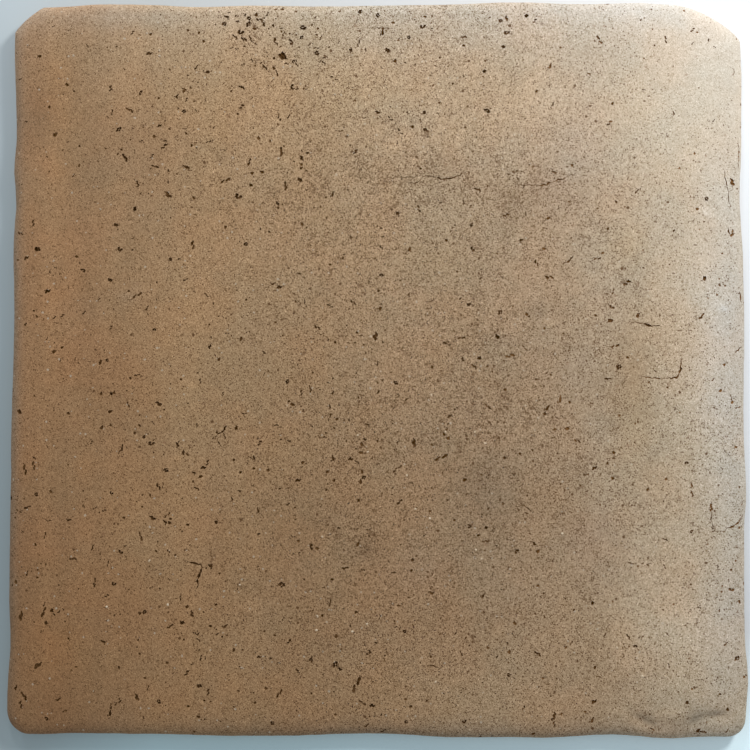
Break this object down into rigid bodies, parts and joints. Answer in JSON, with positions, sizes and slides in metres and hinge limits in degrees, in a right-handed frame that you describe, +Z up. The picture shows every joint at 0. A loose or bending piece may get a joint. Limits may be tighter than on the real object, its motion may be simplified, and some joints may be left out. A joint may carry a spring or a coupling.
{
  "type": "floor tile",
  "caption": "Square rustic ceramic floor tile with gently wavy sides, knocked-off corners, a rolled-over face and a keyed back for laying in adhesive.",
  "frame": {"origin": "centre of the tile's bounding box, on the plane of the ribs of its back, where it lies on the bed", "axes": "+Z up out of the face, +X along the front side to the right, +Y from the front side to the rear side"},
  "size_m": [0.333, 0.3328, 0.01],
  "materials": {
    "fired_clay": "matt fired clay, sandy buff to orange-brown, with dark pits and hairline cracks"
  },
  "bodies": {
    "root": {"tile": "fired_clay"}
  },
  "joints": []
}
